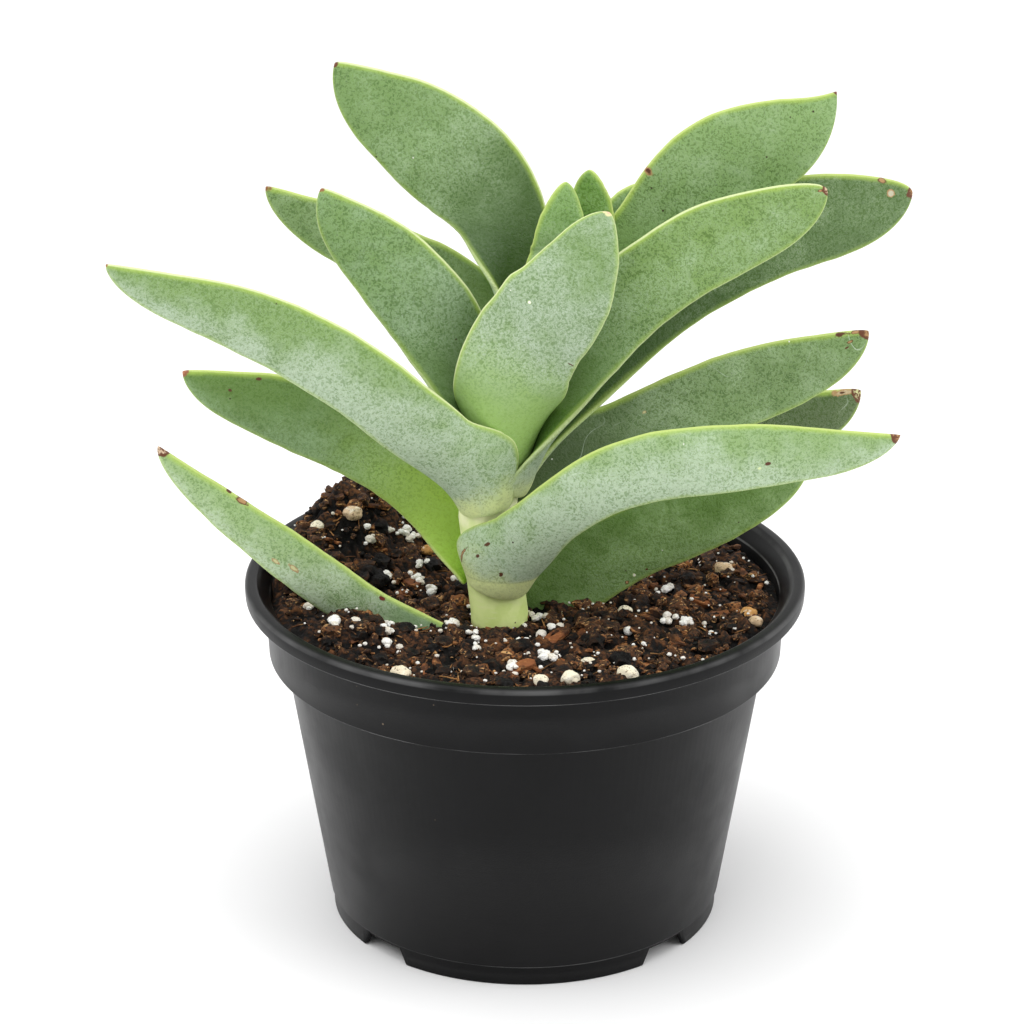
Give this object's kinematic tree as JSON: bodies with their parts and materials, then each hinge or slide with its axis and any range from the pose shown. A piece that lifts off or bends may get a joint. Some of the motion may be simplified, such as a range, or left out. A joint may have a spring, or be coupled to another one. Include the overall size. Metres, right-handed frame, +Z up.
{
  "type": "potted propeller plant",
  "caption": "Succulent with thick sickle-shaped leaves in opposite ranks on a short stem, rooted in bark and perlite mix in a black nursery pot.",
  "frame": {"origin": "on the pot's axis, at the level of the surface that the pot stands on", "axes": "+Z up along the pot's axis, -Y towards the side where the stem stands nearest to the rim, +X to the right seen from that side, along which the leaves spread"},
  "size_m": [0.2105, 0.152, 0.2355],
  "materials": {
    "pot": "satin",
    "soil": "matte",
    "stem": "satin",
    "leaf": "satin"
  },
  "bodies": {
    "root": {"pot": "pot", "soil": "soil", "stem": "stem", "leaf_low_front_right": "leaf", "leaf_soil_left": "leaf", "leaf_long_front_left": "leaf", "leaf_upright_front": "leaf", "leaf_upper_right": "leaf", "leaf_bud_front": "leaf", "leaf_middle_right": "leaf", "leaf_upper_left": "leaf", "leaf_low_back_left": "leaf", "leaf_soil_right": "leaf", "leaf_top_right": "leaf", "leaf_bud_back": "leaf", "leaf_top_left": "leaf", "leaf_middle_back_right": "leaf", "leaf_far_right": "leaf", "leaf_young_back": "leaf", "leaf_far_left": "leaf"}
  },
  "joints": []
}
